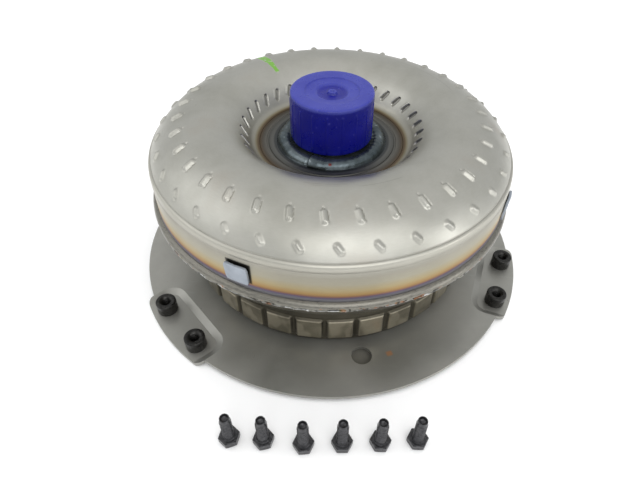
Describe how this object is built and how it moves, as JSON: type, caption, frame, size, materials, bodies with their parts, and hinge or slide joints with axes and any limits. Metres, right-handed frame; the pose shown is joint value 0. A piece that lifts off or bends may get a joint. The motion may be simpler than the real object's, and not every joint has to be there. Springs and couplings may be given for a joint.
{
  "type": "torque converter",
  "caption": "Lock-up torque converter on its mounting plate, with capped pump hub, finned torus shell, toothed clutch drum, weld nuts and loose mounting bolts.",
  "frame": {"origin": "on the shaft axis, at the engine-side end of the pilot, level with the undersides of the three mounting pads", "axes": "+Z runs along the shaft from the engine side towards the gearbox side; the loose bolts stand on the -Y side"},
  "size_m": [0.3389, 0.3799, 0.159],
  "materials": {
    "plate": "satin dark grey",
    "nut": "black phosphate",
    "cover": "dark drawn steel",
    "shell": "satin bright steel",
    "weld": "rough weld bead",
    "hub": "machined, heat tinted",
    "weight": "zinc plated",
    "blade": "pressed, brazed",
    "machined": "turned",
    "race": "ground and hardened",
    "spring": "spring steel",
    "friction": "paper friction lining",
    "aluminium": "die cast",
    "seal": "filled plastic ring",
    "cage": "moulded cage",
    "cap": "blue moulded plastic",
    "bolt": "black phosphate"
  },
  "bodies": {
    "housing": {"mounting_plate": "plate", "weld_nuts": "nut", "front_cover": "cover", "pilot_hub": "machined", "seam_weld": "weld", "impeller_shell": "shell", "impeller_vanes": "blade", "impeller_core_ring": "blade", "impeller_hub": "hub", "hub_weld_bead": "weld", "balance_weight_front": "weight", "balance_weight_side": "weight", "piston_cylinder_ring": "machined", "steel_plate_lower": "machined", "steel_plate_upper": "machined", "backing_plate": "machined", "snap_ring": "spring", "front_bearing_lower_race": "race", "rear_bearing_upper_race": "race"},
    "turbine": {"turbine_shell": "blade", "turbine_vanes": "blade", "turbine_core_ring": "blade", "turbine_hub": "machined", "damper_flange": "machined", "turbine_rivets": "machined", "damper_springs": "spring", "front_bearing_upper_race": "race", "middle_bearing_lower_race": "race"},
    "damper_input": {"clutch_hub": "machined", "friction_disc_lower": "machined", "friction_disc_upper": "machined", "friction_facings": "friction", "damper_plate_front": "machined", "damper_plate_rear": "machined", "damper_rivets": "machined"},
    "clutch_piston": {"lockup_piston": "machined", "piston_outer_seal": "seal", "piston_inner_seal": "seal"},
    "stator": {"stator_wheel": "aluminium", "one_way_outer_race": "race", "one_way_rollers": "race", "roller_cage": "cage", "roller_springs": "spring", "stator_plate_lower": "aluminium", "stator_plate_upper": "aluminium", "middle_bearing_upper_race": "race", "rear_bearing_lower_race": "race"},
    "reaction_race": {"one_way_inner_race": "race"},
    "front_cage": {"front_bearing_cage": "cage", "front_bearing_needles": "race"},
    "middle_cage": {"middle_bearing_cage": "cage", "middle_bearing_needles": "race"},
    "rear_cage": {"rear_bearing_cage": "cage", "rear_bearing_needles": "race"},
    "cap": {"transport_cap": "cap"},
    "loose_bolts": {"mounting_bolts": "bolt"}
  },
  "joints": [
    {"name": "turbine_spin", "type": "hinge", "parent": "housing", "child": "turbine", "pos_m": [0, 0, 0], "axis": [0, 0, 1], "continuous": true},
    {"name": "damper_twist", "type": "hinge", "parent": "turbine", "child": "damper_input", "pos_m": [0, 0, 0.0435], "axis": [0, 0, 1], "range_deg": [-4, 4]},
    {"name": "piston_apply", "type": "slide", "parent": "housing", "child": "clutch_piston", "axis": [0, 0, 1], "range_m": [0, 0.0012]},
    {"name": "stator_spin", "type": "hinge", "parent": "housing", "child": "stator", "pos_m": [0, 0, 0], "axis": [0, 0, 1], "continuous": true},
    {"name": "race_freewheel", "type": "hinge", "parent": "stator", "child": "reaction_race", "pos_m": [0, 0, 0], "axis": [0, 0, 1], "continuous": true},
    {"name": "front_cage_spin", "type": "hinge", "parent": "housing", "child": "front_cage", "pos_m": [0, 0, 0], "axis": [0, 0, 1], "continuous": true},
    {"name": "middle_cage_spin", "type": "hinge", "parent": "stator", "child": "middle_cage", "pos_m": [0, 0, 0], "axis": [0, 0, 1], "continuous": true},
    {"name": "rear_cage_spin", "type": "hinge", "parent": "housing", "child": "rear_cage", "pos_m": [0, 0, 0], "axis": [0, 0, 1], "continuous": true},
    {"name": "cap_lift", "type": "slide", "parent": "housing", "child": "cap", "axis": [0, 0, 1], "range_m": [0, 0.05]},
    {"name": "bolts_lift", "type": "slide", "parent": "housing", "child": "loose_bolts", "axis": [0, 0, 1], "range_m": [0, 0.05]}
  ],
  "couplings": [
    {"joint": "front_cage_spin", "follows": "turbine_spin", "ratio": 0.5},
    {"joint": "middle_cage_spin", "follows": "turbine_spin", "ratio": 0.5},
    {"joint": "rear_cage_spin", "follows": "stator_spin", "ratio": 0.5}
  ]
}
